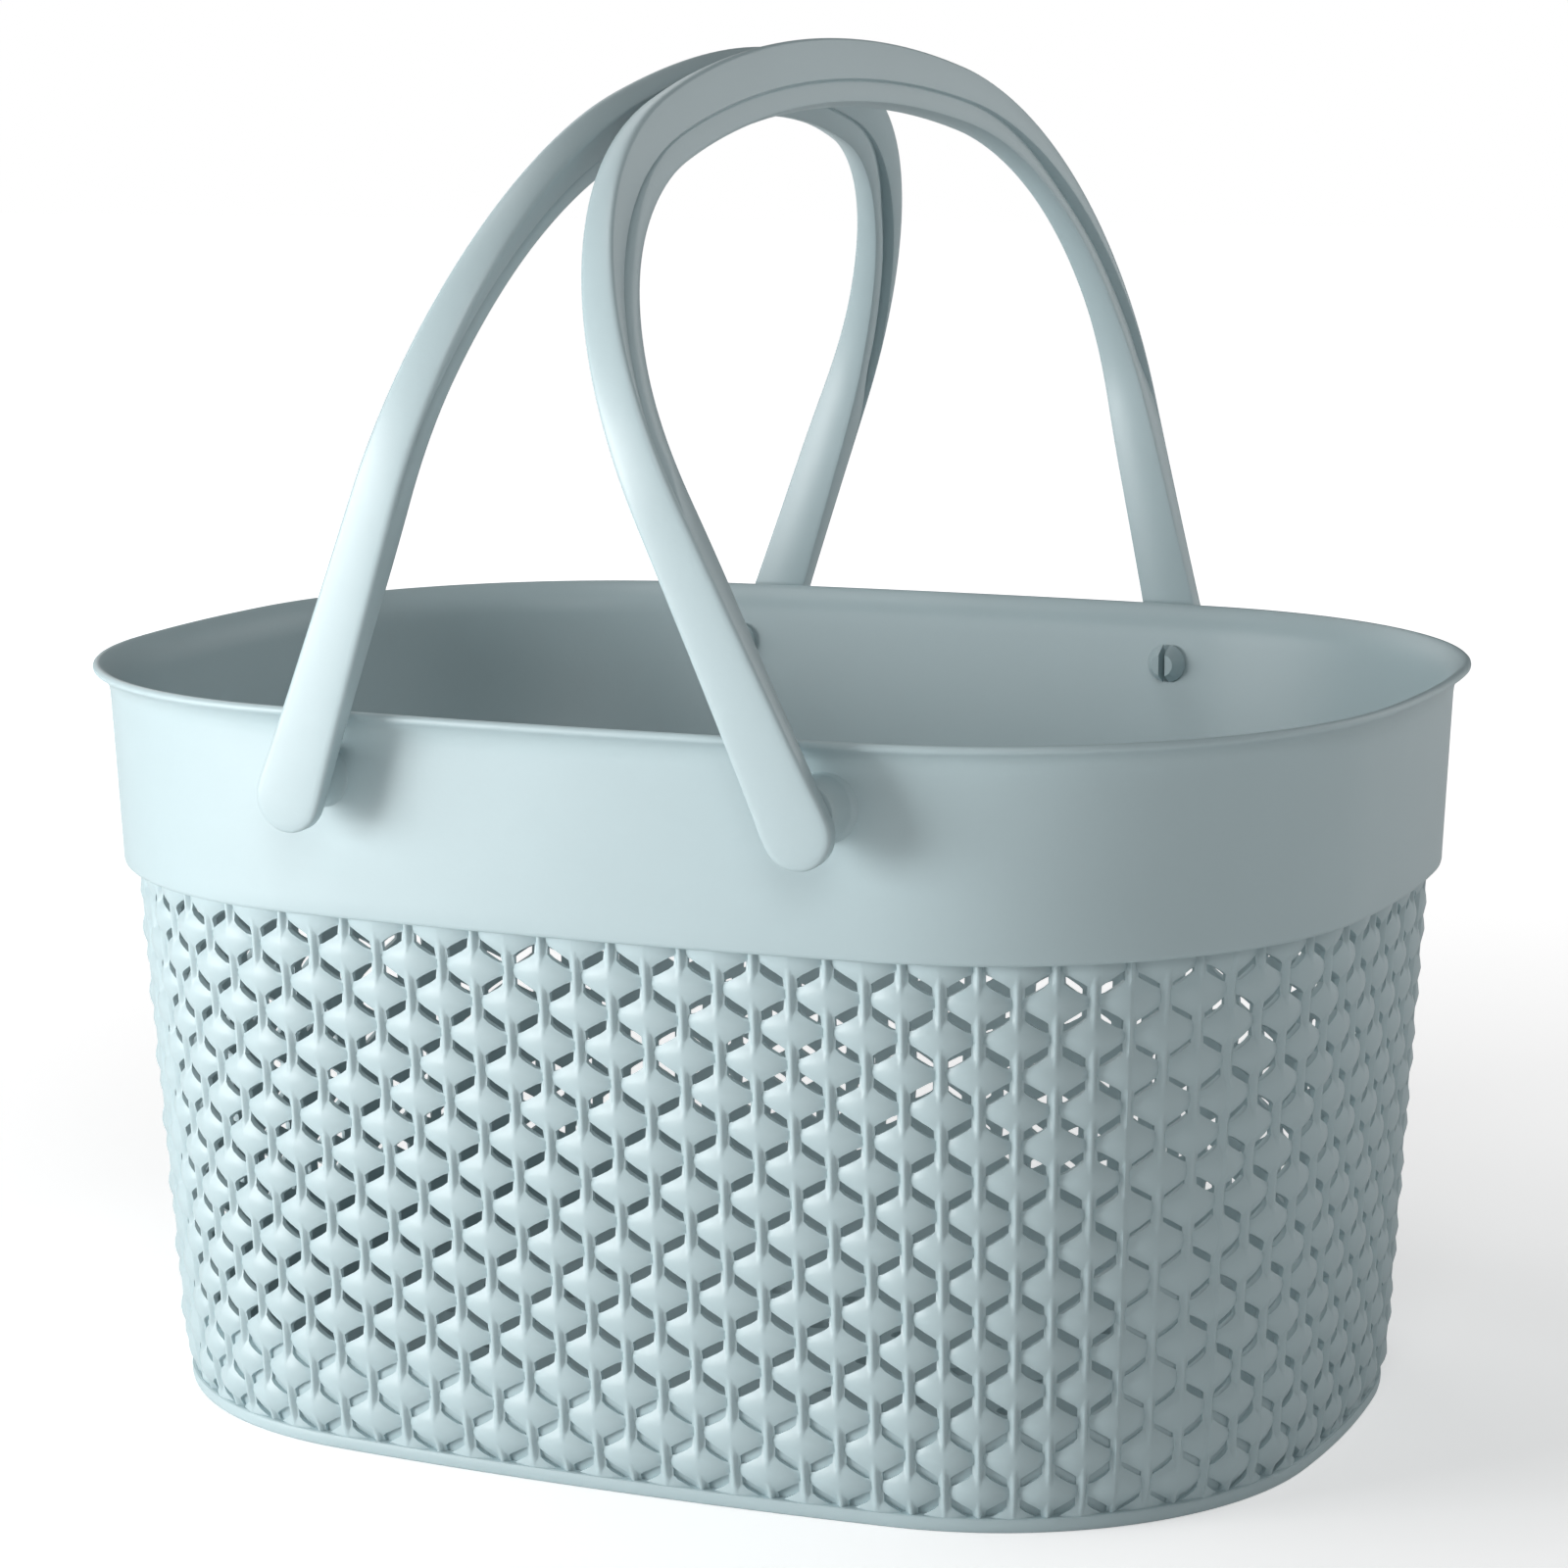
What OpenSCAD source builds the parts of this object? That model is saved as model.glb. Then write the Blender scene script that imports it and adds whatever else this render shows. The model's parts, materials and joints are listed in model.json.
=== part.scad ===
// Shower caddy: an oval basket with a lattice wall and two bail handles that pivot on its collar.
// Origin: the middle of the foot, on the surface that the caddy stands on.
// +X runs along the basket to the right, -Y is the front and +Z is up.
// Both handles are drawn at rest, leaning inwards until their crowns lie side by side.
// Millimetres and degrees.

/* [Basket outline at the rim] */
// Length of the rim, left to right
rim_length = 310; // [290:1:330]
// Width of the rim, front to back
rim_width = 230; // [215:1:240]
// Height of the rim above the surface
basket_height = 170; // [150:1:200]
// Radius of the bowed front and back
side_radius = 900; // [700:10:1200]
// Radius of the bowed ends
end_radius = 293; // [250:1:400]
// Radius of the four corners
corner_radius = 93; // [80:1:98]

/* [Basket walls] */
// Thickness of the lip and the collar
collar_t = 2.2; // [1.8:0.1:2.8]
// Thickness of the lattice wall, from the crests of its pattern to the inside
lattice_t = 2.6; // [2:0.1:3.2]
// Thickness of the floor
floor_t = 2; // [1.6:0.1:3]
// Height of the flared lip
lip_h = 6; // [4:0.5:8]
// How far the lip stands out from the collar
lip_out = 3.8; // [2:0.1:5]
// Height from the rim down to the step under the collar
collar_h = 46; // [40:1:60]
// How far the collar draws in from its top to its bottom
collar_draft = 1.7; // [0:0.1:3]
// Step in from the collar to the lattice wall
step_in = 2.5; // [1:0.1:4]
// How far the lattice wall draws in from its top to its lower bend
lattice_draft = 6.2; // [2:0.1:10]
// Height of the lower bend of the wall
bend_h = 22; // [15:1:30]
// How far the wall draws in over the lower bend
bend_in = 2.6; // [1:0.1:4]
// Height of the foot ring that keeps the floor off the surface
foot_h = 1.2; // [0.8:0.1:2]
// Width of the foot ring
foot_w = 4; // [3:0.5:8]

/* [Drain holes] */
// Diameter of a drain hole
drain_d = 6; // [3:0.5:8]
// Spacing of the drain holes both ways
drain_pitch = 22; // [18:1:30]
// Drain holes each side of the middle, along the basket
drain_cols = 4; // [2:1:4]
// Drain holes each side of the middle, across the basket
drain_rows = 2; // [1:1:2]

/* [Pivots] */
// Distance of each pivot from the middle of the basket
pivot_x = 58; // [50:1:65]
// Depth of the pivots below the rim
pivot_drop = 14; // [12:1:20]
// Diameter of the round boss at a pivot
boss_d = 13.4; // [11:0.1:16]
// Diameter of a peg
peg_d = 7; // [5:0.5:8]
// Clearance between a peg and its hole, on the radius
peg_gap = 0.06; // [0.03:0.01:0.1]
// Clearance between a boss and the strap in front of it
boss_gap = 0.9; // [0.6:0.1:1.4]
// Diameter of the snap head inside the collar
head_d = 9.4; // [8:0.1:11]
// Width of the slit that lets the head close up as it goes in
slit_w = 1.6; // [1:0.1:2]

/* [Handles] */
// Half of the outer span of a handle, at its pivots
half_span = 123.5; // [120:0.5:126]
// Outward flare of the legs
leg_flare = 3.4; // [0:0.1:5]
// Length of the straight leg above a pivot
leg_l = 65.2; // [50:0.1:80]
// Outer radius of the shoulders of the arch
shoulder_radius = 83.2; // [70:0.1:90]
// Angle turned through at each shoulder
shoulder_angle = 77.4; // [70:0.1:80]
// How far the round end reaches below the pivot, beyond its own radius
end_drop = 3.4; // [0:0.1:4]
// Lean of the left handle at rest
left_lean = 20.1; // [19.6:0.1:24]
// How much further the left handle's front leg leans than its crown, as the plastic gives
left_flex = 1; // [0:0.1:2]
// Lean of the right handle at rest
right_lean = 18.3; // [15:0.1:18.6]
// How much further the right handle's front leg leans than its crown, as the plastic gives
right_flex = 5.2; // [0:0.1:5.5]
// Width of the strap at a pivot
strap_w = 15; // [13:0.1:18]
// Thickness of the strap at a pivot
strap_t = 4.6; // [4.5:0.1:6]
// How far the middle of the strap sits from the pivot, towards the middle of the basket
strap_offset = 1.2; // [0:0.1:2]
// Width of the outer face at the crown
face_w = 4.2; // [3:0.1:5]
// Width of the handle at the crown
crown_w = 6; // [5:0.1:6.4]
// Depth of the whole handle at the crown
crown_depth = 15.2; // [13:0.1:17]
// Depth of the outer band at the crown
band_depth = 10; // [8:0.1:11]
// How much narrower the grip rib is than the strap, on each side
rib_step = 0.9; // [0.6:0.1:1.5]
// Share of the climb from a pivot to the crown where the grip rib parts from the strap
rib_start = 0.4; // [0.3:0.05:0.6]

/* [Hidden] */

LEFT = -1;
RIGHT = 1;
FRONT = -1;
BACK = 1;
plastic = [0.68, 0.78, 0.80];
grip_plastic = [0.64, 0.75, 0.77];
round_fn = 64;

// Insets of the walls from the rim outline, and the heights that they run between
collar_top_inset = lip_out;
collar_low_inset = lip_out + collar_draft;
lattice_top_inset = collar_low_inset + step_in;
lattice_low_inset = lattice_top_inset + lattice_draft;
foot_inset = lattice_low_inset + bend_in;
lip_low_z = basket_height - lip_h;
step_z = basket_height - collar_h;
floor_top_z = foot_h + floor_t;
pivot_z = basket_height - pivot_drop;

// ---- Outline of the basket seen from above ----
// Each quarter is an end arc, a corner arc and a side arc that meet tangentially.

end_centre = [rim_length / 2 - end_radius, 0];
side_centre = [0, rim_width / 2 - side_radius];

// The corner's centre lies on one circle round each of the other two centres
function corner_centre() =
    let (to_end = end_radius - corner_radius,
         to_side = side_radius - corner_radius,
         gap = side_centre - end_centre,
         d = norm(gap),
         along = (to_end * to_end - to_side * to_side + d * d) / (2 * d),
         off = sqrt(to_end * to_end - along * along),
         u = gap / d)
    end_centre + u * along + [-u[1], u[0]] * off;

corner = corner_centre();
end_turn = atan2(corner[1] - end_centre[1], corner[0] - end_centre[0]);
side_turn = atan2(corner[1] - side_centre[1], corner[0] - side_centre[0]);
end_steps = 5;
corner_steps = 13;
side_steps = 8;

// A station on the outline is [arc centre, arc radius, direction from the centre]
quarter = concat(
    [for (i = [0 : end_steps - 1]) [end_centre, end_radius, end_turn * i / end_steps]],
    [for (i = [0 : corner_steps - 1])
        [corner, corner_radius, end_turn + (side_turn - end_turn) * i / corner_steps]],
    [for (i = [0 : side_steps]) [side_centre, side_radius, side_turn + (90 - side_turn) * i / side_steps]]
);
quarter_last = len(quarter) - 1;

function flip_x(s) = [[-s[0][0], s[0][1]], s[1], 180 - s[2]];
function flip_y(s) = [[s[0][0], -s[0][1]], s[1], -s[2]];

half = concat(quarter, [for (i = [quarter_last - 1 : -1 : 0]) flip_x(quarter[i])]);
outline = concat(half, [for (i = [len(half) - 2 : -1 : 1]) flip_y(half[i])]);

// A point of the outline drawn in by inset
function outline_point(s, inset) = s[0] + (s[1] - inset) * [cos(s[2]), sin(s[2])];

// The outline drawn in by inset, as a face
module outline_face(inset) {
    polygon([for (s = outline) outline_point(s, inset)]);
}

// A ring that follows the outline: profile is a closed loop of [inset, z], outside upwards first
module outline_ring(profile) {
    m = len(profile);
    n = len(outline);
    points = [for (s = outline) for (p = profile)
        let (q = outline_point(s, p[0])) [q[0], q[1], p[1]]];
    faces = [for (i = [0 : n - 1]) for (j = [0 : m - 1])
        let (a = i * m + j,
             b = i * m + (j + 1) % m,
             c = ((i + 1) % n) * m + (j + 1) % m,
             d = ((i + 1) % n) * m + j)
        each [[a, b, c], [a, c, d]]];
    polyhedron(points = points, faces = faces, convexity = 6);
}

// ---- Basket ----

module rim_lip() {
    edge = 1.8;
    color(plastic)
        outline_ring([
            [collar_top_inset, lip_low_z],
            [lip_out * 0.85, lip_low_z + lip_h * 0.35],
            [lip_out * 0.45, lip_low_z + lip_h * 0.62],
            [0, basket_height - edge],
            [0, basket_height - edge * 0.35],
            [edge * 0.35, basket_height],
            [lip_out * 0.7, basket_height - edge * 0.2],
            [lip_out * 0.7 + collar_t * 0.8, lip_low_z + lip_h * 0.6],
            [collar_top_inset + collar_t, lip_low_z]
        ]);
}

module collar() {
    bore_reach = 30;
    color(plastic)
        difference() {
            outline_ring([
                [collar_low_inset + 0.8, step_z],
                [collar_low_inset, step_z + 0.8],
                [collar_top_inset, lip_low_z],
                [collar_top_inset + collar_t, lip_low_z],
                [collar_low_inset + collar_t, step_z + 6],
                [lattice_top_inset + lattice_t, step_z]
            ]);
            for (side = [LEFT, RIGHT])
                translate([side * pivot_x, 0, pivot_z])
                    rotate([90, 0, 0])
                        for (end = [FRONT, BACK])
                            translate([0, 0, -end * boss_face_y()])
                                cylinder(h = bore_reach, r = peg_d / 2 + peg_gap, center = true, $fn = round_fn);
        }
}

module lattice_wall() {
    color(plastic)
        outline_ring([
            [foot_inset, floor_top_z],
            [foot_inset - bend_in * 0.55, floor_top_z + 4],
            [foot_inset - bend_in * 0.8, floor_top_z + 9],
            [lattice_low_inset, bend_h],
            [lattice_top_inset, step_z],
            [lattice_top_inset + lattice_t, step_z],
            [lattice_low_inset + lattice_t, bend_h],
            [foot_inset - bend_in * 0.8 + lattice_t, floor_top_z + 9],
            [foot_inset + lattice_t, floor_top_z]
        ]);
}

module floor_plate() {
    color(plastic)
        translate([0, 0, foot_h])
            linear_extrude(floor_t)
                difference() {
                    outline_face(foot_inset);
                    for (i = [-drain_cols : drain_cols])
                        for (j = [-drain_rows : drain_rows])
                            translate([i, j] * drain_pitch) circle(d = drain_d, $fn = round_fn);
                }
}

module foot_ring() {
    color(plastic)
        linear_extrude(foot_h)
            difference() {
                outline_face(foot_inset + 0.6);
                outline_face(foot_inset + 0.6 + foot_w);
            }
}

// ---- Pivots ----

// Distances from the basket's middle plane to the collar, the strap's inner face and the boss's face
function collar_y(inset) =
    let (r = side_radius - inset) side_centre[1] + sqrt(r * r - pivot_x * pivot_x);
function strap_y() = half_span - strap_t;
function boss_face_y() = strap_y() - boss_gap;

pivot_inset = collar_top_inset
    + collar_draft * (lip_low_z - pivot_z) / (lip_low_z - step_z);

module pivot_boss(side, end) {
    root_y = collar_y(pivot_inset) - 1;
    boss_l = boss_face_y() - root_y;
    chamfer = 0.8;
    color(plastic)
        translate([side * pivot_x, end * root_y, pivot_z])
            rotate([-90 * end, 0, 0])
                difference() {
                    rotate_extrude($fn = round_fn)
                        polygon([
                            [0, 0], [boss_d / 2, 0], [boss_d / 2, boss_l - chamfer],
                            [boss_d / 2 - chamfer, boss_l], [0, boss_l]
                        ]);
                    translate([0, 0, -1])
                        cylinder(h = boss_l + 2, r = peg_d / 2 + peg_gap, $fn = round_fn);
                }
}

// A peg starts inside the strap, fills the boss and ends in a split snap head inside the collar
module pivot_peg(side, end) {
    embed = 2;
    head_gap = 0.7;
    head_rise = 0.5;
    head_l = 4;
    start_y = strap_y() + embed;
    head_y = collar_y(pivot_inset + collar_t) - head_gap;
    neck_l = start_y - head_y;
    slit_l = head_l + 8;
    color(grip_plastic)
        translate([side * pivot_x, end * start_y, pivot_z])
            rotate([90 * end, 0, 0])
                difference() {
                    rotate_extrude($fn = round_fn)
                        polygon([
                            [0, 0], [peg_d / 2, 0], [peg_d / 2, neck_l], [head_d / 2, neck_l],
                            [head_d / 2, neck_l + head_rise], [peg_d / 2 - 0.8, neck_l + head_l],
                            [0, neck_l + head_l]
                        ]);
                    translate([-slit_w / 2, -head_d, neck_l + head_l - slit_l])
                        cube([slit_w, 2 * head_d, slit_l + 1]);
                }
}

// ---- Handles ----
// The outer edge of a handle runs in its own plane: y across the basket and h up from the pivots.
// It is a straight leg, a shoulder arc and a crown arc whose centre is on the middle plane.

leg_start = [-half_span, 0];
leg_dir = [-sin(leg_flare), cos(leg_flare)];
leg_in = [cos(leg_flare), sin(leg_flare)];
shoulder_centre = leg_start + leg_dir * leg_l + leg_in * shoulder_radius;
crown_turn = shoulder_angle - leg_flare;
crown_radius = shoulder_radius - shoulder_centre[0] / cos(crown_turn);
crown_centre = shoulder_centre + (crown_radius - shoulder_radius) * [cos(crown_turn), -sin(crown_turn)];
arch_h = crown_centre[1] + crown_radius;

// A station on the outer edge is [point, direction inwards, share of the strap's width]
function leg_station(along, share = 1) = [leg_start + leg_dir * along, leg_in, share];
function arc_station(centre, r, turn) =
    let (inwards = [cos(turn), -sin(turn)]) [centre - r * inwards, inwards, 1];
function flip_station(s) = [[-s[0][0], s[0][1]], [-s[1][0], s[1][1]], s[2]];

leg_steps = 7;
shoulder_steps = 12;
crown_steps = 4;
end_r = strap_w / 2;
round_end = [for (a = [12, 26, 42, 60, 78]) leg_station(-end_drop - end_r * cos(a), sin(a))];
straight_leg = [for (i = [0 : leg_steps - 1]) leg_station(leg_l * i / leg_steps)];
arch = concat(
    [for (i = [0 : shoulder_steps - 1])
        arc_station(shoulder_centre, shoulder_radius, -leg_flare + shoulder_angle * i / shoulder_steps)],
    [for (i = [0 : crown_steps])
        arc_station(crown_centre, crown_radius, crown_turn + (90 - crown_turn) * i / crown_steps)]
);

function both_sides(stations) =
    concat(stations, [for (i = [len(stations) - 2 : -1 : 0]) flip_station(stations[i])]);

// Share of the way from a pivot to the crown, by height
function climb(s) = max(0, min(1, s[0][1] / arch_h));
function mix(a, b, t) = a + (b - a) * t;

strap_bevel = 1;
function taper(s) = pow(climb(s), 0.74);
function body_w(s) = mix(strap_w, crown_w, taper(s)) * s[2];
function outer_w(s) = mix(strap_w - 2 * strap_bevel, face_w, taper(s)) * s[2];

// The legs are solid straps. Above rib_start the section is a T: the band's lips stand out each side of
// the grip rib, and they get deeper towards the crown.
parting = 0.08;
least_lip = 1.2;
function parted(s) = max(0, min(1, (climb(s) - rib_start) / parting + 0.5));
function whole_d(s) = mix(strap_t, crown_depth, climb(s));
function lip_d(s) =
    max(least_lip, band_depth * pow(max(0, climb(s) - rib_start) / (1 - rib_start), 1.15));
function band_d(s) = mix(whole_d(s), lip_d(s), parted(s));

// A section is a loop of [across the handle, depth from its outer edge]
function strap_section(s) =
    let (b = body_w(s) / 2, f = outer_w(s) / 2, d = band_d(s), edge = strap_bevel)
    [[-f, 0], [f, 0], [b, edge], [b, d - edge / 2], [b - edge / 2, d], [-b + edge / 2, d],
     [-b, d - edge / 2], [-b, edge]];

// The rib starts inside the strap
rib_root = 0.6;
function rib_section(s) =
    let (b = body_w(s) / 2 - rib_step,
         near = lip_d(s) - rib_root,
         far = whole_d(s) - rib_root * (1 - parted(s)),
         edge = 1.2)
    [[-b, near], [b, near], [b, far - edge], [b - edge, far], [-b + edge, far], [-b, far - edge]];

// A point of a section in the basket's frame; the lean turns the handle's plane about its pivots
function handle_point(s, p, side, lean, flex) =
    let (y = s[0][0] + s[1][0] * p[1],
         h = s[0][1] + s[1][1] * p[1],
         tilt = lean - flex * s[0][0] / half_span)
    let (across = p[0] - side * strap_offset)
    [side * (pivot_x - sin(tilt) * h) + cos(tilt) * across,
     y,
     pivot_z + cos(tilt) * h + side * sin(tilt) * across];

// A closed solid through one section at each station
module handle_sweep(stations, sections, side, lean, flex) {
    n = len(stations);
    m = len(sections[0]);
    points = [for (i = [0 : n - 1]) for (p = sections[i]) handle_point(stations[i], p, side, lean, flex)];
    walls = [for (i = [0 : n - 2]) for (j = [0 : m - 1])
        let (a = i * m + j, b = i * m + (j + 1) % m, c = b + m, d = a + m)
        each [[a, b, c], [a, c, d]]];
    caps = [[for (j = [m - 1 : -1 : 0]) j], [for (j = [0 : m - 1]) (n - 1) * m + j]];
    polyhedron(points = points, faces = concat(walls, caps), convexity = 6);
}

module strap(side, lean, flex) {
    stations = both_sides(concat(round_end, straight_leg, arch));
    color(plastic)
        handle_sweep(stations, [for (s = stations) strap_section(s)], side, lean, flex);
}

module grip_rib(side, lean, flex) {
    climbing = concat(straight_leg, arch);
    stations = both_sides([for (s = climbing) if (climb(s) > rib_start - parting) s]);
    color(grip_plastic)
        handle_sweep(stations, [for (s = stations) rib_section(s)], side, lean, flex);
}

rim_lip();
collar();
lattice_wall();
floor_plate();
foot_ring();
pivot_boss(LEFT, FRONT);  // front_left_boss
pivot_boss(RIGHT, FRONT);  // front_right_boss
pivot_boss(LEFT, BACK);  // back_left_boss
pivot_boss(RIGHT, BACK);  // back_right_boss
strap(LEFT, left_lean, left_flex);  // left_strap
grip_rib(LEFT, left_lean, left_flex);  // left_grip_rib
pivot_peg(LEFT, FRONT);  // left_front_peg
pivot_peg(LEFT, BACK);  // left_back_peg
strap(RIGHT, right_lean, right_flex);  // right_strap
grip_rib(RIGHT, right_lean, right_flex);  // right_grip_rib
pivot_peg(RIGHT, FRONT);  // right_front_peg
pivot_peg(RIGHT, BACK);  // right_back_peg
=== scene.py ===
"""Shower caddy: an oval plastic basket with a lattice wall and two bail handles."""
import json
import math
import bpy
import numpy as np
from mathutils import Matrix, Vector


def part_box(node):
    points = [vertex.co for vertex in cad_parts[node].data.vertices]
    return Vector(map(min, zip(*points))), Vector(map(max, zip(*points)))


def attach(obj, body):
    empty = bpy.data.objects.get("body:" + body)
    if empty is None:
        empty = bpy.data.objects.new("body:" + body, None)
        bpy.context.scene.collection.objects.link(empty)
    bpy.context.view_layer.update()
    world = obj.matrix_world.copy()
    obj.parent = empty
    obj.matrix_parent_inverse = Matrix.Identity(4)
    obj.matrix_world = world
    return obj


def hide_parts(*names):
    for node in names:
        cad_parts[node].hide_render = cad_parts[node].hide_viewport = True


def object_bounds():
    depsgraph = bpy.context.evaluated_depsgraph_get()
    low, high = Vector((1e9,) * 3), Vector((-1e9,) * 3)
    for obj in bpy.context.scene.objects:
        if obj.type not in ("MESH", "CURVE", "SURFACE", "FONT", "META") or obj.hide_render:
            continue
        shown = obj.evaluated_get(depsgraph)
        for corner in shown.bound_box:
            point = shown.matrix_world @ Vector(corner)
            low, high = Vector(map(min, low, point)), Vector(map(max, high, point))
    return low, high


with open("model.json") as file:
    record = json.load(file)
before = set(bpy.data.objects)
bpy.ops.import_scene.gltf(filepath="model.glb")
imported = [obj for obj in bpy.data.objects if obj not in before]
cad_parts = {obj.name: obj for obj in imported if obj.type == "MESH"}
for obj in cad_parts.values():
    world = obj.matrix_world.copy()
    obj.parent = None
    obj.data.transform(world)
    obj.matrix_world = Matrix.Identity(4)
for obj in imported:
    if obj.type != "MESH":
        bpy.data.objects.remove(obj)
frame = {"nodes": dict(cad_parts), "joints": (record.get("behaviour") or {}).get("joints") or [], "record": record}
cad_low, cad_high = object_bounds()

# Lengths below are millimetres, and meshes are scaled to metres as they are made.
MM = 0.001


def low_mm(node):
    return np.array(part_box(node)[0]) / MM


def high_mm(node):
    return np.array(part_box(node)[1]) / MM


RIM_Z = high_mm("rim_lip")[2]
HALF_LENGTH = high_mm("rim_lip")[0]
HALF_WIDTH = high_mm("rim_lip")[1]
LIP_LOW_Z = low_mm("rim_lip")[2]
STEP_Z = low_mm("collar")[2]
FLOOR_TOP_Z = high_mm("floor_plate")[2]
COLLAR_TOP_INSET = HALF_LENGTH - high_mm("collar")[0]
CREST_TOP_INSET = HALF_LENGTH - high_mm("lattice_wall")[0]
FOOT_INSET = HALF_LENGTH - high_mm("floor_plate")[0]
SIDE_RADIUS, END_RADIUS, CORNER_RADIUS = 900.0, 293.0, 93.0
COLLAR_DRAFT = 1.7
LATTICE_DRAFT = 6.2
BEND_Z = 22.0


# ---- Meshes ----

def make_mesh(name, points, faces, sharp_angle=35):
    """An object from points in millimetres, smooth except along edges sharper than sharp_angle."""
    mesh = bpy.data.meshes.new(name)
    mesh.from_pydata((np.asarray(points) * MM).tolist(), [], faces)
    mesh.validate()
    mesh.shade_smooth()
    mesh.set_sharp_from_angle(angle=math.radians(sharp_angle))
    made = bpy.data.objects.new(name, mesh)
    bpy.context.scene.collection.objects.link(made)
    return made


def grid_faces(rows, columns, close_rows, close_columns):
    """Quads between neighbouring rows of points, each row holding columns points."""
    faces = []
    for i in range(rows if close_rows else rows - 1):
        for j in range(columns if close_columns else columns - 1):
            a, b = i * columns, (i + 1) % rows * columns
            k = (j + 1) % columns
            faces.append((a + j, b + j, b + k, a + k))
    return faces


def welded(points, faces):
    """The same surface with points that coincide made one, and faces that vanish left out."""
    places, kept, merged = {}, [], []
    for point in points:
        place = tuple(round(float(v), 3) for v in point)
        if place not in places:
            places[place] = len(kept)
            kept.append(point)
        merged.append(places[place])
    solid = []
    for face in faces:
        loop = [merged[i] for i in face]
        loop = [a for a, b in zip(loop, loop[1:] + loop[:1]) if a != b]
        if len(set(loop)) == len(loop) and len(loop) > 2:
            solid.append(tuple(loop))
    return kept, solid


# ---- Outline of the basket seen from above ----

END_CENTRE = np.array([HALF_LENGTH - END_RADIUS, 0.0])
SIDE_CENTRE = np.array([0.0, HALF_WIDTH - SIDE_RADIUS])


def corner_centre():
    to_end, to_side = END_RADIUS - CORNER_RADIUS, SIDE_RADIUS - CORNER_RADIUS
    gap = SIDE_CENTRE - END_CENTRE
    d = np.hypot(*gap)
    along = (to_end ** 2 - to_side ** 2 + d ** 2) / (2 * d)
    off = math.sqrt(to_end ** 2 - along ** 2)
    u = gap / d
    return END_CENTRE + u * along + np.array([-u[1], u[0]]) * off


CORNER = corner_centre()
END_TURN = math.atan2(*(CORNER - END_CENTRE)[::-1])
SIDE_TURN = math.atan2(*(CORNER - SIDE_CENTRE)[::-1])


def stations(shares):
    """Arc centre, radius and outward direction at each share of the way round.

    Shares run from the front middle towards +X, by length along the lattice's top."""
    side_l = (SIDE_RADIUS - CREST_TOP_INSET) * (math.pi / 2 - SIDE_TURN)
    corner_l = (CORNER_RADIUS - CREST_TOP_INSET) * (SIDE_TURN - END_TURN)
    end_l = (END_RADIUS - CREST_TOP_INSET) * END_TURN
    quarter = side_l + corner_l + end_l
    far = (np.asarray(shares) % 1.0) * 4
    which = np.floor(far).astype(int)
    t = (far - which) * quarter
    t = np.where(which % 2 == 1, quarter - t, t)
    on_side, on_end = t <= side_l, t > side_l + corner_l
    turn = np.where(
        on_side,
        math.pi / 2 - t / (SIDE_RADIUS - CREST_TOP_INSET),
        np.where(
            on_end,
            (quarter - t) / (END_RADIUS - CREST_TOP_INSET),
            SIDE_TURN - (t - side_l) / (CORNER_RADIUS - CREST_TOP_INSET),
        ),
    )
    radius = np.where(on_side, SIDE_RADIUS, np.where(on_end, END_RADIUS, CORNER_RADIUS))
    centre = np.where(
        on_side[:, None], SIDE_CENTRE, np.where(on_end[:, None], END_CENTRE, CORNER)
    )
    right = np.where((which == 0) | (which == 1), 1, -1)
    back = np.where((which == 1) | (which == 2), 1, -1)
    flip = np.stack([right, back], 1)
    return centre * flip, radius, np.stack([np.cos(turn), np.sin(turn)], 1) * flip


def ring(name, profile, around=384):
    """A closed ring that follows the outline. profile is a loop of (inset, z), outside upwards first."""
    centre, radius, out = stations(np.arange(around) / around)
    points = []
    for inset, z in profile:
        flat = centre + out * (radius - inset)[:, None]
        points.append(np.column_stack([flat, np.full(around, z)]))
    points = np.transpose(np.array(points), (1, 0, 2)).reshape(-1, 3)
    return make_mesh(name, points, grid_faces(around, len(profile), True, True))


# ---- Rim and collar ----

def build_rim_and_collar():
    low_inset = COLLAR_TOP_INSET + COLLAR_DRAFT
    thick = 2.2
    outer = [
        (low_inset + 1.1, STEP_Z),
        (low_inset + 0.5, STEP_Z + 0.15),
        (low_inset + 0.15, STEP_Z + 0.5),
        (low_inset, STEP_Z + 1.1),
        (low_inset - 0.1, STEP_Z + 4),
        (COLLAR_TOP_INSET + 0.15, LIP_LOW_Z - 4),
        (COLLAR_TOP_INSET, LIP_LOW_Z - 1),
        (COLLAR_TOP_INSET - 0.25, LIP_LOW_Z + 0.8),
        (COLLAR_TOP_INSET - 0.75, LIP_LOW_Z + 2.0),
        (COLLAR_TOP_INSET - 1.6, LIP_LOW_Z + 3.1),
        (COLLAR_TOP_INSET - 2.6, LIP_LOW_Z + 3.9),
        (COLLAR_TOP_INSET - 3.4, LIP_LOW_Z + 4.3),
        (0.08, RIM_Z - 1.35),
        (0.0, RIM_Z - 0.95),
        (0.12, RIM_Z - 0.5),
        (0.5, RIM_Z - 0.14),
        (1.0, RIM_Z),
    ]
    inner = [
        (1.6, RIM_Z - 0.12),
        (2.5, RIM_Z - 0.8),
        (3.7, RIM_Z - 2.0),
        (4.9, RIM_Z - 3.7),
        (5.6, RIM_Z - 5.6),
        (COLLAR_TOP_INSET + thick, LIP_LOW_Z - 2),
        (low_inset + thick - 0.1, STEP_Z + 8),
        (CREST_TOP_INSET + 2.7, STEP_Z + 2),
        (CREST_TOP_INSET + 2.9, STEP_Z),
    ]
    return ring("rim_and_collar", outer + inner)


# ---- Lattice wall ----

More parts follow.
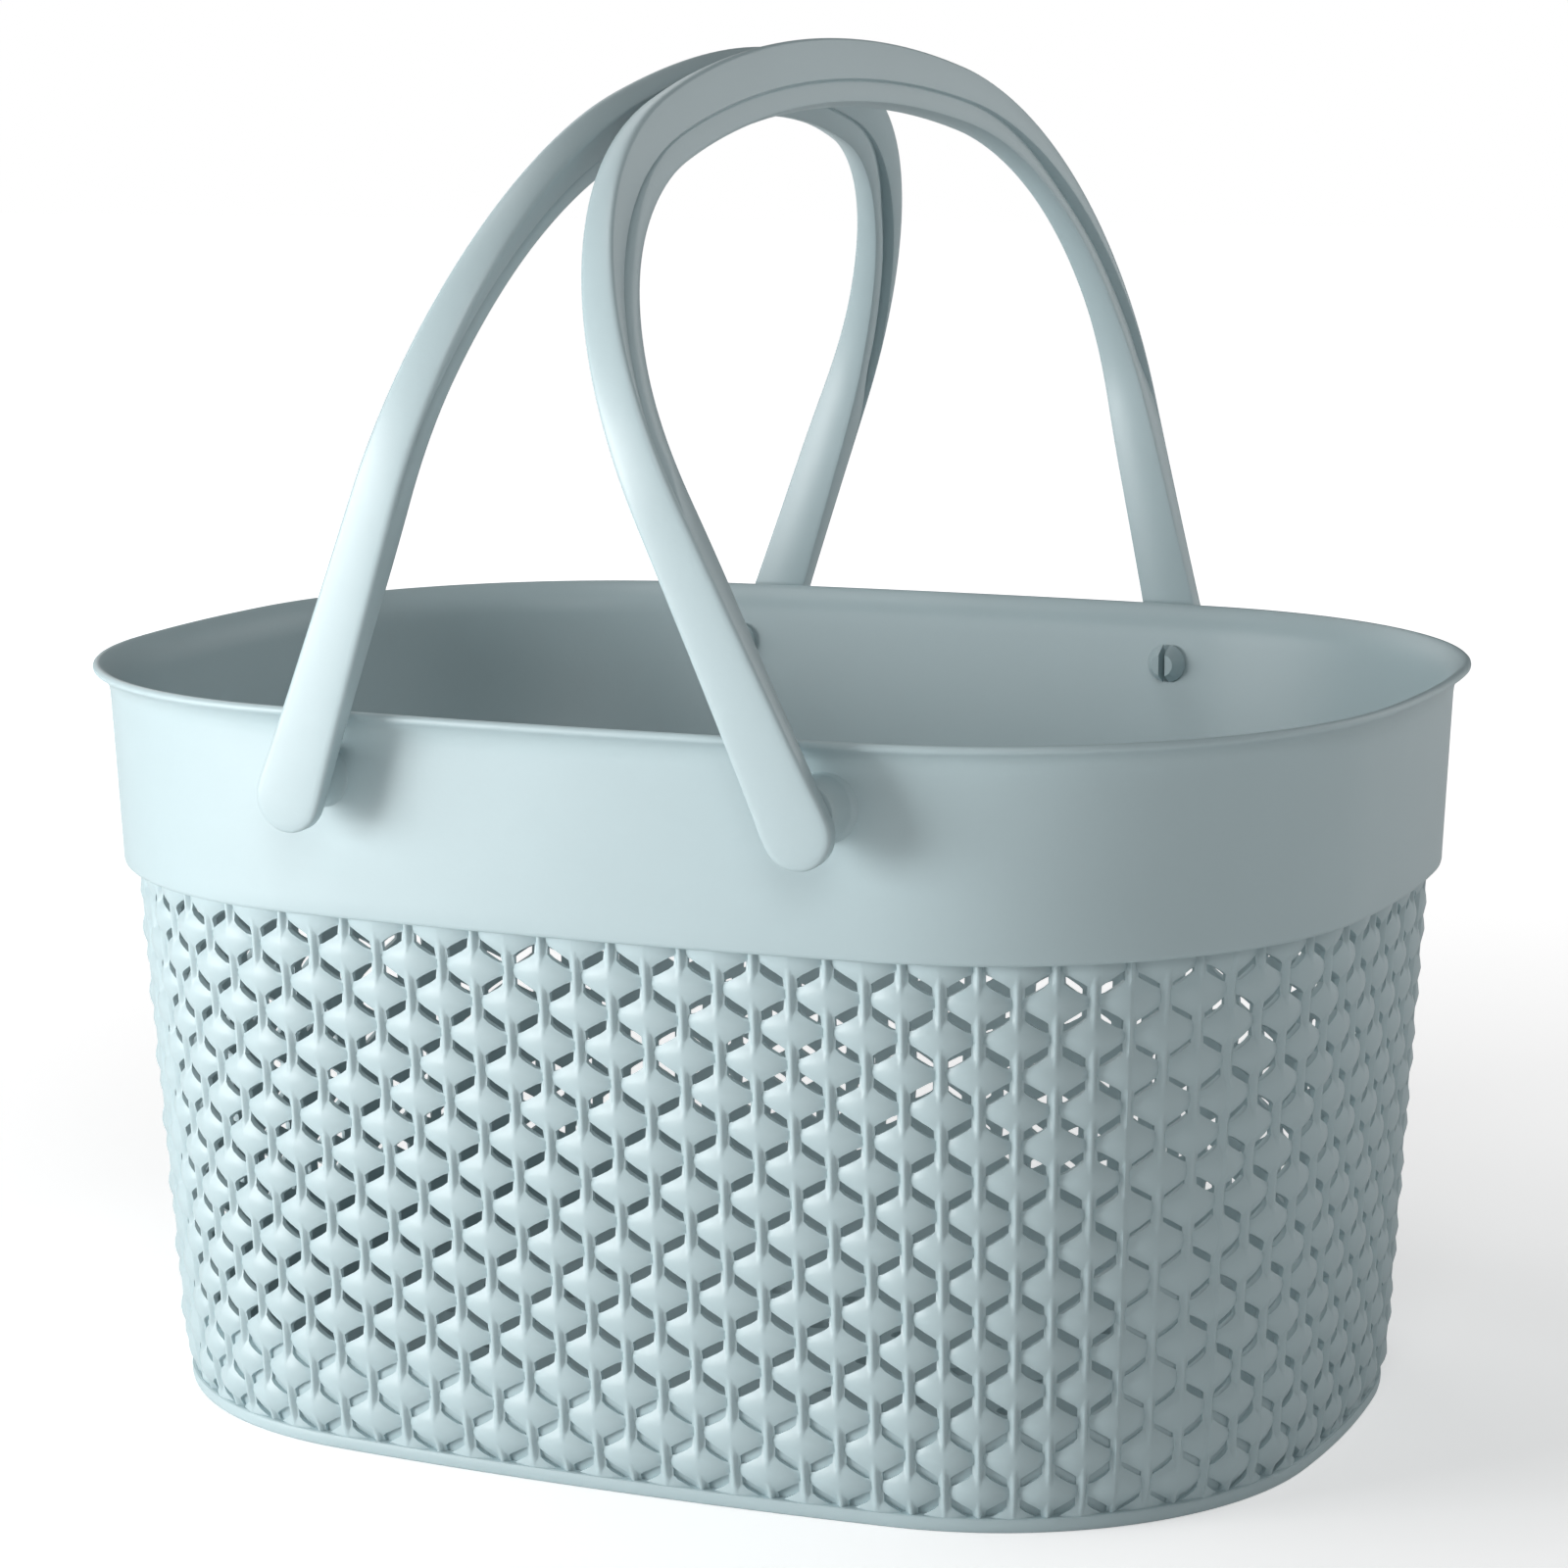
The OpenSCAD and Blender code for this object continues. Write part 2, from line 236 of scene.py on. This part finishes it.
# Upright ribs stand one column apart. Between them, each row has one slanted slot.
COLUMNS = 106
COLUMN_PITCH = 8.09
ROW_PITCH = 7.6
ROW_HALF = ROW_PITCH / 2
FIRST_ROW_Z = 28.0
LOWEST_ROW, HIGHEST_ROW = -3, 12
SEAM_COLUMN = 15
SLANT = math.tan(math.radians(29))
WEB_DEPTH = 1.9
WALL_T = 2.7
RIB_HEIGHT, RIB_HALF = 1.3, 0.9
PILLOW_HALF_LENGTH, PILLOW_HALF_HEIGHT = 7.1, 4.8
PILLOW_OUTLINE, PILLOW_BULGE = 1.6, 0.7
PARTING_RELIEF = 0.75
# Points across one column as shares of its width, and up one row as shares of half its pitch.
# A slot spans SLOT_FIRST to SLOT_LAST across and SLOT_LOW to SLOT_HIGH up, and the inner skin
# uses only the points listed for it.
ACROSS = np.array([0, 0.055, 0.105, 0.14, 0.19, 0.32, 0.5, 0.68, 0.81, 0.86, 0.895, 0.945])
SLOT_FIRST, SLOT_LAST = 4, 8
SLOT_HALF = 0.32
LINES = np.array([-1, -0.76, -0.52, -SLOT_HALF, SLOT_HALF, 0.52, 0.76])
SLOT_LOW, SLOT_HIGH = 3, 4
SLOT_ENDS = 0.8
INNER_ACROSS = [0, 4, 5, 6, 7, 8]
INNER_LINES = [0, 3, 4]


def crest_inset(z):
    """How far inside the rim's outline the crests are: below BEND_Z the wall rounds in to the floor."""
    heights = [0, FLOOR_TOP_Z, FLOOR_TOP_Z + 4, FLOOR_TOP_Z + 9, BEND_Z, STEP_Z, RIM_Z]
    low_inset = CREST_TOP_INSET + LATTICE_DRAFT
    insets = [
        FOOT_INSET + 0.6, FOOT_INSET, FOOT_INSET - 1.43, FOOT_INSET - 2.08, low_inset,
        CREST_TOP_INSET, CREST_TOP_INSET - 2.8,
    ]
    return np.interp(z, heights, insets)


def folded(gap):
    """Distance in columns from the middle of the nearer long side, 0 to a quarter of the way round."""
    half = COLUMNS / 2
    s = (gap + 0.5) % half
    return min(s, half - s)


def slot_share(gap):
    """How open the slots between two ribs are: the mould's parting line pinches those at the corners."""
    s = folded(gap)
    if SEAM_COLUMN <= s < SEAM_COLUMN + 2:
        return 0.5
    if SEAM_COLUMN + 2 <= s < SEAM_COLUMN + 3:
        return 0.8
    return 1.0


def slot_open(gap, row):
    """Slots go through, except in the lowest rows and low down at the parting line."""
    lowest = 4 if SEAM_COLUMN <= folded(gap) < SEAM_COLUMN + 2 else 0
    return row >= lowest


def relief(across, z, gap, row):
    """Height above the web, in millimetres, at a point between rib gap and rib gap + 1."""
    height = np.zeros_like(z)
    for rib in (0, 1):
        du = np.abs(across - rib) * COLUMN_PITCH
        bar = RIB_HEIGHT * np.sqrt(np.clip(1 - (du / RIB_HALF) ** 2, 0, 1))
        height = np.maximum(height, bar)
        for level in range(row - 1, row + 3):
            # Pillows lie level with the gaps between rows, on every other one along each rib
            if (gap + rib + level) % 2 == 0:
                continue
            dz = np.abs(z - FIRST_ROW_Z - (level - 0.5) * ROW_PITCH)
            edge = (du / PILLOW_HALF_LENGTH) ** PILLOW_OUTLINE
            edge = edge + (dz / PILLOW_HALF_HEIGHT) ** PILLOW_OUTLINE
            height = np.maximum(height, WEB_DEPTH * np.clip(1 - edge, 0, 1) ** PILLOW_BULGE)
    return height


def lattice_relief():
    """Levels of the points on the wall's outer face, and their heights above the web.

    Rows of points run up the wall, with len(LINES) of them to each row of slots."""
    per, lines = len(ACROSS), len(LINES)
    rows = range(LOWEST_ROW, HIGHEST_ROW + 1)
    z = np.zeros((len(rows) * lines + 1, COLUMNS * per))
    lift = np.zeros_like(z)
    half = COLUMN_PITCH / 2
    for gap in range(COLUMNS):
        at = slice(gap * per, gap * per + per)
        share = slot_share(gap)
        for k, row in enumerate(list(rows) + [HIGHEST_ROW + 1]):
            lean = 1 if (gap + row) % 2 == 0 else -1
            middle = FIRST_ROW_Z + row * ROW_PITCH
            for m, v in enumerate(LINES if row <= HIGHEST_ROW else LINES[:1]):
                line = np.full(per, v)
                if m in (SLOT_LOW, SLOT_HIGH):
                    line[SLOT_FIRST:SLOT_LAST + 1] *= share
                    line[[SLOT_FIRST, SLOT_LAST]] *= SLOT_ENDS
                fade = np.clip((1 - np.abs(line)) / (1 - SLOT_HALF), 0, 1)
                shear = lean * SLANT * (ACROSS * COLUMN_PITCH - half) * fade
                level = middle + shear + line * ROW_HALF
                z[k * lines + m, at] = level
                lift[k * lines + m, at] = relief(ACROSS, level, gap, row)
    # The top edge ends inside the collar
    z[-1] = STEP_Z + 0.8
    softer = [1.0 if slot_share(gap) == 1 else PARTING_RELIEF for gap in range(COLUMNS)]
    return z, lift * np.repeat(softer, per)


def build_lattice():
    """The wall as two skins, joined along both edges and round each open slot. Other slots are pockets."""
    per, lines = len(ACROSS), len(LINES)
    rows = range(LOWEST_ROW, HIGHEST_ROW + 1)
    z, lift = lattice_relief()
    count_rows, count_columns = z.shape
    shares = (np.repeat(np.arange(COLUMNS), per) + np.tile(ACROSS, COLUMNS)) / COLUMNS
    centre, radius, out = stations(shares)

    def place(z_levels, depth, columns):
        flat = radius[columns] - crest_inset(z_levels) - depth
        xy = centre[columns] + out[columns] * flat[..., None]
        return np.concatenate([xy, z_levels[..., None]], -1).reshape(-1, 3)

    every = np.arange(count_columns)
    outer = place(z, WEB_DEPTH - lift, every)
    inner_columns = np.array([g * per + a for g in range(COLUMNS) for a in INNER_ACROSS])
    inner_rows = [k * lines + m for k in range(len(rows)) for m in INNER_LINES] + [count_rows - 1]
    inner = place(z[np.ix_(inner_rows, inner_columns)], WALL_T, inner_columns)
    inner_at = {c: i for i, c in enumerate(inner_columns)}
    inner_row_at = {r: i for i, r in enumerate(inner_rows)}
    base = len(outer)

    def outside(c, r):
        return r * count_columns + c % count_columns

    def inside(c, r):
        return base + inner_row_at[r] * len(inner_columns) + inner_at[c % count_columns]

    points = [outer, inner]
    total = base + len(inner)
    faces = []
    steps = list(zip(INNER_ACROSS, INNER_ACROSS[1:] + [per]))
    for gap in range(COLUMNS):
        first = gap * per
        for k, row in enumerate(rows):
            r0 = k * lines
            for a in range(per):
                for m in range(lines):
                    if m == SLOT_LOW and SLOT_FIRST <= a < SLOT_LAST:
                        continue
                    c, r = first + a, r0 + m
                    faces.append((
                        outside(c, r), outside(c + 1, r), outside(c + 1, r + 1), outside(c, r + 1),
                    ))
            through = slot_open(gap, row)
            for a, b in steps:
                for m, m2 in ((0, 3), (3, 4), (4, lines)):
                    if through and m == SLOT_LOW and SLOT_FIRST <= a < SLOT_LAST:
                        continue
                    c, d, r, s = first + a, first + b, r0 + m, r0 + m2
                    faces.append((inside(c, r), inside(c, s), inside(d, s), inside(d, r)))
            loop = [(first + a, r0 + SLOT_LOW) for a in range(SLOT_FIRST, SLOT_LAST + 1)]
            loop += [(first + a, r0 + SLOT_HIGH) for a in range(SLOT_LAST, SLOT_FIRST - 1, -1)]
            if through:
                deep = [inside(c, r) for c, r in loop]
            else:
                cols = np.array([c for c, r in loop])
                levels = np.array([z[r, c] for c, r in loop])
                points.append(place(levels, WEB_DEPTH + 0.5, cols))
                deep = list(range(total, total + len(loop)))
                total += len(loop)
                for i in range(SLOT_LAST - SLOT_FIRST):
                    faces.append((deep[i], deep[i + 1], deep[-2 - i], deep[-1 - i]))
            for i in range(len(loop)):
                j = (i + 1) % len(loop)
                faces.append((outside(*loop[i]), outside(*loop[j]), deep[j], deep[i]))
        for a, b in steps:
            span = [first + c for c in range(a, b + 1)]
            low = [outside(c, 0) for c in reversed(span)] + [inside(span[0], 0), inside(span[-1], 0)]
            top = count_rows - 1
            high = [outside(c, top) for c in span] + [inside(span[-1], top), inside(span[0], top)]
            faces += [tuple(low), tuple(high)]
    return make_mesh("lattice_visual", np.concatenate(points), faces, sharp_angle=50)


def build_foot():
    inset = FOOT_INSET
    profile = [
        (inset + 4.2, 0.0), (inset + 0.9, 0.0), (inset + 0.45, 0.2), (inset + 0.1, 0.7),
        (inset - 0.1, 1.5), (inset - 0.15, 2.4), (inset + 0.0, 3.0), (inset + 0.4, 3.3),
        (inset + 4.2, 3.3),
    ]
    return ring("foot_visual", profile)


# ---- Pivots and handles ----

PIVOTS = {}
for joint in frame["joints"]:
    PIVOTS[joint["child"]] = np.array(joint["pos_m"]) / MM
PIVOT_X = abs(PIVOTS["handle_right"][0])
PIVOT_Z = PIVOTS["handle_right"][2]
# Along its outer edge a handle is two straight legs, two shoulders and a flatter crown
HALF_SPAN = 123.5
LEG_FLARE = math.radians(3.4)
LEG_L = 65.2
SHOULDER_RADIUS = 83.2
SHOULDER_ANGLE = math.radians(77.4)
END_DROP = 3.4
# At rest each handle leans inwards, its front leg more by its flex and its back leg less
LEAN = {"left": math.radians(20.1), "right": math.radians(18.3)}
FLEX = {"left": math.radians(1), "right": math.radians(5.2)}
SIDE = {"left": -1, "right": 1}
STRAP_W, STRAP_T, STRAP_OFFSET = 15.0, 4.6, 1.2
FACE_W, CROWN_W = 4.2, 6.0
BAND_DEPTH, CROWN_DEPTH = 10.0, 15.2
RIB_STEP, RIB_START = 0.9, 0.4
STRAP_EDGE, LEAST_LIP = 1.6, 1.5
TAPER_POWER, BAND_POWER = 0.74, 1.15
GROOVE = 2.0

LEG_DIR = np.array([-math.sin(LEG_FLARE), math.cos(LEG_FLARE)])
LEG_IN = np.array([math.cos(LEG_FLARE), math.sin(LEG_FLARE)])
LEG_START = np.array([-HALF_SPAN, 0.0])
SHOULDER_CENTRE = LEG_START + LEG_DIR * LEG_L + LEG_IN * SHOULDER_RADIUS
CROWN_TURN = SHOULDER_ANGLE - LEG_FLARE
CROWN_RADIUS = SHOULDER_RADIUS - SHOULDER_CENTRE[0] / math.cos(CROWN_TURN)
CROWN_CENTRE = SHOULDER_CENTRE + (CROWN_RADIUS - SHOULDER_RADIUS) * np.array(
    [math.cos(CROWN_TURN), -math.sin(CROWN_TURN)]
)
ARCH_H = CROWN_CENTRE[1] + CROWN_RADIUS


def handle_path():
    """Half of a handle's outer edge: (point, direction inwards, angle round the end, up to 90)."""
    path = []
    for turn in np.radians([0, 10, 20, 30, 40, 50, 60, 70, 80]):
        path.append((LEG_START - LEG_DIR * END_DROP, LEG_IN, turn))
    for along in np.linspace(-END_DROP, LEG_L, 30)[:-1]:
        path.append((LEG_START + LEG_DIR * along, LEG_IN, math.pi / 2))
    for turn in np.linspace(-LEG_FLARE, CROWN_TURN, 44)[:-1]:
        inwards = np.array([math.cos(turn), -math.sin(turn)])
        path.append((SHOULDER_CENTRE - SHOULDER_RADIUS * inwards, inwards, math.pi / 2))
    for turn in np.linspace(CROWN_TURN, math.pi / 2, 16):
        inwards = np.array([math.cos(turn), -math.sin(turn)])
        path.append((CROWN_CENTRE - CROWN_RADIUS * inwards, inwards, math.pi / 2))
    return path


def ease(t):
    t = min(max(t, 0.0), 1.0)
    return t * t * (3 - 2 * t)


def handle_section(climb):
    """A loop of (across, depth from the outer edge): a solid strap that parts into a band and a rib."""
    taper = climb ** TAPER_POWER
    across = (STRAP_W + (CROWN_W - STRAP_W) * taper) / 2
    face = (STRAP_W - STRAP_EDGE + (FACE_W - STRAP_W + STRAP_EDGE) * taper) / 2
    whole = STRAP_T + (CROWN_DEPTH - STRAP_T) * climb
    parted = max(climb - RIB_START, 0) / (1 - RIB_START)
    lip = max(LEAST_LIP, BAND_DEPTH * parted ** BAND_POWER)
    near_crown = ease((climb - 0.75) / 0.2)
    step = RIB_STEP * ease((climb - RIB_START + 0.1) / 0.3) * (1 - 0.3 * near_crown)
    groove = GROOVE * ease((climb - RIB_START + 0.02) / 0.1) * (1 - 0.9 * near_crown)
    rib = across - step
    round_lip = min(0.5, step * 0.6)
    soft = 1.2
    crowned_face = [(0.0, 0.0), (face * 0.5, 0.05), (face * 0.85, 0.17), (face, 0.28)]
    band_side = [
        (face * 0.4 + across * 0.6, 0.5), (across - 0.04, 0.85), (across, 1.15),
        (across, lip - round_lip), (across - round_lip * 0.3, lip - round_lip * 0.3),
        (across - round_lip, lip),
    ]
    hollow = [
        (rib - groove, lip + 0.1), (rib - groove, lip + groove * 0.5 + 0.1),
        (rib - groove * 0.5, lip + groove * 1.1 + 0.15),
        (rib - groove * 0.12, lip + groove * 1.7 + 0.2), (rib, lip + groove * 2.2 + 0.25),
    ]
    rib_side = [
        (rib, whole - soft), (rib - soft * 0.3, whole - soft * 0.3), (rib - soft, whole),
        (0.0, whole),
    ]
    half = crowned_face + band_side + hollow + rib_side
    return half + [(-away, depth) for away, depth in reversed(half[1:-1])]


def build_handle(name):
    """A handle swept from its front strap end, over the crown, to its back strap end."""
    side, lean, flex = SIDE[name], LEAN[name], FLEX[name]
    points = []
    path = handle_path()
    both_legs = [(edge, inwards, turn, 1) for edge, inwards, turn in path]
    for edge, inwards, turn in reversed(path[:-1]):
        both_legs.append((edge * (-1, 1), inwards * (-1, 1), turn, -1))
    for edge, inwards, turn, end in both_legs:
        climb = min(max(edge[1] / ARCH_H, 0), 1)
        tilt = lean - flex * edge[0] / HALF_SPAN
        down = -LEG_DIR * (end, 1) * math.cos(turn)
        for across, depth in handle_section(climb):
            y, height = edge + inwards * depth + down * abs(across)
            across = across * math.sin(turn) - side * STRAP_OFFSET
            points.append((
                side * (PIVOT_X - math.sin(tilt) * height) + math.cos(tilt) * across,
                y,
                PIVOT_Z + math.cos(tilt) * height + side * math.sin(tilt) * across,
            ))
    per = len(points) // len(both_legs)
    points, faces = welded(points, grid_faces(len(both_legs), per, False, True))
    return make_mesh(name + "_handle_visual", points, faces, sharp_angle=40)


def build_boss(node):
    """A turned boss with a rounded edge and a small fillet where it meets the collar."""
    low, high = low_mm(node), high_mm(node)
    centre = (low + high) / 2
    radius = (high[0] - low[0]) / 2
    front = centre[1] < 0
    face_y = abs(low[1]) if front else high[1]
    root_y = abs(high[1]) if front else low[1]
    outwards = -1 if front else 1
    length = face_y - root_y
    bore = radius * 0.53
    profile = [
        (bore, 0), (radius + 1.2, 0), (radius + 1.0, 0.9), (radius + 0.35, 1.5),
        (radius + 0.05, 2.3), (radius, length - 1.0), (radius - 0.15, length - 0.5),
        (radius - 0.5, length - 0.12), (radius - 1.1, length), (bore, length),
    ]
    around = 64
    points = []
    for i in range(around):
        a = 2 * math.pi * i / around
        for r, along in profile:
            points.append((
                centre[0] + r * math.cos(a),
                outwards * (root_y + along),
                centre[2] + r * math.sin(a),
            ))
    faces = grid_faces(around, len(profile), True, True)
    return make_mesh(node + "_visual", points, faces)


# ---- Materials ----

def plastic(name, colour, roughness):
    """Satin moulded plastic: a faint mottle in its colour, and a very fine grain."""
    mat = bpy.data.materials.new(name)
    mat.use_nodes = True
    nodes, links = mat.node_tree.nodes, mat.node_tree.links
    shader = nodes["Principled BSDF"]
    shader.inputs["IOR"].default_value = 1.49
    shader.inputs["Roughness"].default_value = roughness
    where = nodes.new("ShaderNodeTexCoord")
    cloud = nodes.new("ShaderNodeTexNoise")
    cloud.inputs["Scale"].default_value = 28
    cloud.inputs["Detail"].default_value = 3
    links.new(where.outputs["Object"], cloud.inputs["Vector"])
    tone = nodes.new("ShaderNodeMapRange")
    tone.inputs["To Min"].default_value = 0.965
    tone.inputs["To Max"].default_value = 1.035
    links.new(cloud.outputs["Fac"], tone.inputs["Value"])
    tint = nodes.new("ShaderNodeVectorMath")
    tint.operation = "SCALE"
    tint.inputs[0].default_value = colour
    links.new(tone.outputs["Result"], tint.inputs["Scale"])
    links.new(tint.outputs["Vector"], shader.inputs["Base Color"])
    grain = nodes.new("ShaderNodeTexNoise")
    grain.inputs["Scale"].default_value = 900
    grain.inputs["Detail"].default_value = 2
    links.new(where.outputs["Object"], grain.inputs["Vector"])
    bump = nodes.new("ShaderNodeBump")
    bump.inputs["Strength"].default_value = 0.06
    bump.inputs["Distance"].default_value = 0.0004
    links.new(grain.outputs["Fac"], bump.inputs["Height"])
    links.new(bump.outputs["Normal"], shader.inputs["Normal"])
    return mat


BLUE_GREY = (0.429, 0.535, 0.56)
BASKET_PLASTIC = plastic("basket_plastic", BLUE_GREY, 0.42)
HANDLE_PLASTIC = plastic("handle_plastic", (0.435, 0.54, 0.565), 0.38)


# ---- Assembly ----

def finish_piece(made, body, slot, material, *nodes):
    made.data.materials.append(material)
    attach(made, body)
    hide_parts(*nodes)


BASKET = frame["record"]["behaviour"]["bodies"]["basket"]
for node, item in frame["nodes"].items():
    item.data.materials.clear()
    item.data.materials.append(BASKET_PLASTIC if node in BASKET else HANDLE_PLASTIC)

finish_piece(build_rim_and_collar(), "basket", "basket_plastic", BASKET_PLASTIC, "rim_lip", "collar")
finish_piece(build_lattice(), "basket", "basket_plastic", BASKET_PLASTIC, "lattice_wall")
finish_piece(build_foot(), "basket", "basket_plastic", BASKET_PLASTIC, "foot_ring")
for corner_name in ("front_left", "front_right", "back_left", "back_right"):
    boss = corner_name + "_boss"
    finish_piece(build_boss(boss), "basket", "basket_plastic", BASKET_PLASTIC, boss)
for name in ("left", "right"):
    finish_piece(
        build_handle(name), "handle_" + name, "handle_plastic", HANDLE_PLASTIC,
        name + "_strap", name + "_grip_rib",
    )


# ---- Stage, light and camera ----

def floor_paper():
    """Pale paper that fades to white away from the object, like a studio sweep."""
    mat = bpy.data.materials.new("studio_floor")
    mat.use_nodes = True
    nodes, links = mat.node_tree.nodes, mat.node_tree.links
    shader = nodes["Principled BSDF"]
    shader.inputs["Base Color"].default_value = (0.8, 0.8, 0.8, 1)
    shader.inputs["Roughness"].default_value = 0.9
    shader.inputs["Specular IOR Level"].default_value = 0.1
    shader.inputs["Emission Color"].default_value = (1, 1, 1, 1)
    where = nodes.new("ShaderNodeTexCoord")
    reach = nodes.new("ShaderNodeVectorMath")
    reach.operation = "LENGTH"
    links.new(where.outputs["Object"], reach.inputs[0])
    path = nodes.new("ShaderNodeLightPath")
    level = nodes.new("ShaderNodeMapRange")
    links.new(path.outputs["Is Camera Ray"], level.inputs["Value"])
    # What the paper casts on the object, and how white it is seen, both grow with distance
    for socket, near, far, low, high in (
        ("To Min", 0.4, 2.2, 0.08, 0.6), ("To Max", 0.25, 1.3, 0.45, 1.0),
    ):
        glow = nodes.new("ShaderNodeMapRange")
        glow.inputs["From Min"].default_value = near
        glow.inputs["From Max"].default_value = far
        glow.inputs["To Min"].default_value = low
        glow.inputs["To Max"].default_value = high
        links.new(reach.outputs["Value"], glow.inputs["Value"])
        links.new(glow.outputs["Result"], level.inputs[socket])
    links.new(level.outputs["Result"], shader.inputs["Emission Strength"])
    return mat


def build_floor():
    half = 6.0
    mesh = bpy.data.meshes.new("studio_floor")
    mesh.from_pydata(
        [(-half, -half, 0), (half, -half, 0), (half, half, 0), (-half, half, 0)], [], [(0, 1, 2, 3)]
    )
    made = bpy.data.objects.new("studio_floor", mesh)
    bpy.context.scene.collection.objects.link(made)
    made.location.z = cad_low.z
    made.data.materials.append(floor_paper())


def area_light(name, azimuth, elevation, distance, size, power, aim=(0, 0, 0.13)):
    """A square soft light. Azimuth 0 is the front, and it grows towards +X."""
    a, e = math.radians(azimuth), math.radians(elevation)
    away = Vector((math.sin(a) * math.cos(e), -math.cos(a) * math.cos(e), math.sin(e)))
    data = bpy.data.lights.new(name, "AREA")
    data.shape = "SQUARE"
    data.size = size
    data.energy = power
    lamp = bpy.data.objects.new(name, data)
    lamp.location = Vector(aim) + away * distance
    lamp.rotation_mode = "QUATERNION"
    lamp.rotation_quaternion = away.to_track_quat("Z", "Y")
    lamp.visible_camera = False
    bpy.context.scene.collection.objects.link(lamp)


def build_world(seen, cast):
    """An even white surround: as bright as seen behind the object, and casting a softer light."""
    world = bpy.data.worlds.new("studio")
    bpy.context.scene.world = world
    world.use_nodes = True
    nodes, links = world.node_tree.nodes, world.node_tree.links
    back = nodes["Background"]
    back.inputs["Color"].default_value = (1, 1, 1, 1)
    path = nodes.new("ShaderNodeLightPath")
    level = nodes.new("ShaderNodeMapRange")
    level.inputs["To Min"].default_value = cast
    level.inputs["To Max"].default_value = seen
    links.new(path.outputs["Is Camera Ray"], level.inputs["Value"])
    links.new(level.outputs["Result"], back.inputs["Strength"])


def build_camera():
    azimuth, elevation, roll = math.radians(23.98), math.radians(11.67), math.radians(-0.45)
    back = Vector((
        math.sin(azimuth) * math.cos(elevation),
        -math.cos(azimuth) * math.cos(elevation),
        math.sin(elevation),
    ))
    right = Vector((math.cos(azimuth), math.sin(azimuth), 0))
    up = back.cross(right)
    tilted = right * math.cos(roll) + up * math.sin(roll)
    upright = up * math.cos(roll) - right * math.sin(roll)
    data = bpy.data.cameras.new("camera")
    data.sensor_width = 36
    data.lens = 97.1
    data.shift_x = 0.0031
    data.shift_y = 0.0848
    data.clip_start = 0.05
    data.clip_end = 50
    camera = bpy.data.objects.new("camera", data)
    spot = Vector((0, 0, 0.108)) + back * 0.9812
    turn = Matrix((tilted, upright, back)).transposed()
    camera.matrix_world = Matrix.Translation(spot) @ turn.to_4x4()
    bpy.context.scene.collection.objects.link(camera)
    bpy.context.scene.camera = camera


build_floor()
build_world(1.0, 0.024)
area_light("key_light", -38, 5, 0.8, 0.3, 4.15)
area_light("window_light", -60, 5, 1.6, 0.5, 6.2)
area_light("front_light", 24, 30, 1.6, 0.6, 5.2)
area_light("top_light", -60, 68, 1.6, 0.7, 5.0)
area_light("right_fill", 100, 15, 1.6, 1.0, 2.2)
area_light("back_right_light", 140, 20, 1.6, 1.0, 5.0)
area_light("back_left_light", -130, 30, 1.6, 1.0, 4.0)
build_camera()
bpy.context.scene.view_settings.view_transform = "Standard"
